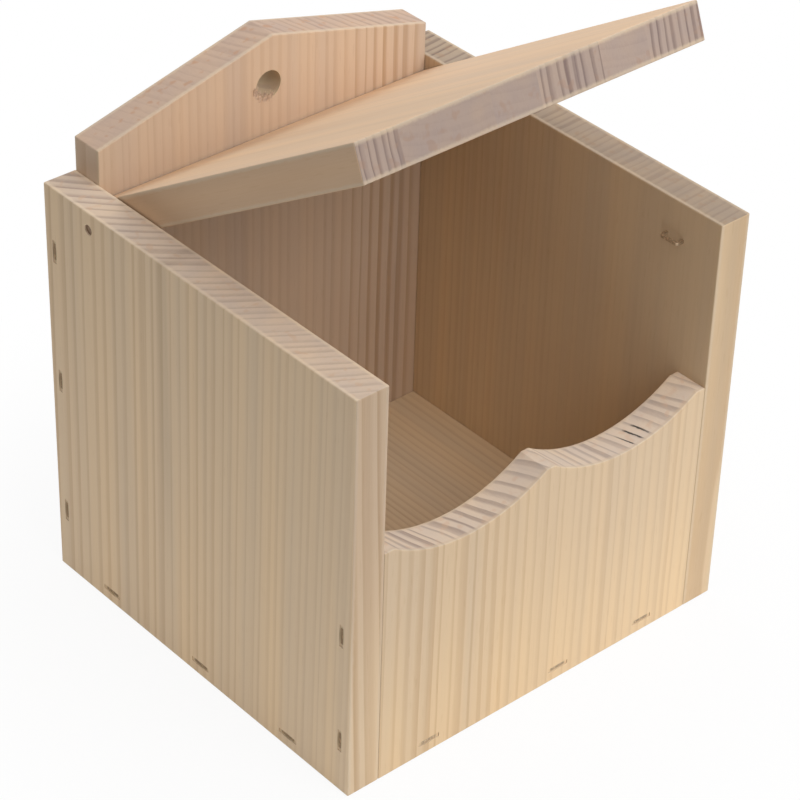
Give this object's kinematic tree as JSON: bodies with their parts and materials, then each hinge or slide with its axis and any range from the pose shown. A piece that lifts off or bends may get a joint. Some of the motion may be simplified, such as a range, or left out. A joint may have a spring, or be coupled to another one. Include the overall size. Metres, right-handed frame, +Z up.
{
  "type": "bird nest box",
  "caption": "Half-open wooden nest box with a gabled back, a scalloped front, a hanging hole and a flat lid that swings on nails.",
  "frame": {"origin": "middle of the footprint, on the ground that the box stands on", "axes": "+Z up, the open front faces -Y, +X is to the right as seen from the front"},
  "size_m": [0.206, 0.194, 0.2848],
  "materials": {
    "spruce": "planed, untreated",
    "steel": "dull wire with a brown coat"
  },
  "bodies": {
    "box": {"left_side": "spruce", "right_side": "spruce", "floor_panel": "spruce", "back_panel": "spruce", "front_panel": "spruce", "pivot_nail_left": "steel", "pivot_nail_right": "steel", "lid_rest_left": "steel", "lid_rest_right": "steel", "left_back_staples": "steel", "left_front_staples": "steel", "left_floor_staples": "steel", "right_back_staples": "steel", "right_front_staples": "steel", "right_floor_staples": "steel", "front_floor_staples": "steel", "back_floor_staples": "steel"},
    "lid": {"lid_strip_1": "spruce", "lid_strip_2": "spruce", "lid_strip_3": "spruce", "lid_strip_4": "spruce", "lid_strip_5": "spruce", "lid_strip_6": "spruce"}
  },
  "joints": [
    {"name": "lid_hinge", "type": "hinge", "parent": "box", "child": "lid", "pos_m": [0, 0.067, 0.186], "axis": [-1, 0, 0], "range_deg": [-32.6, 64.4]}
  ]
}
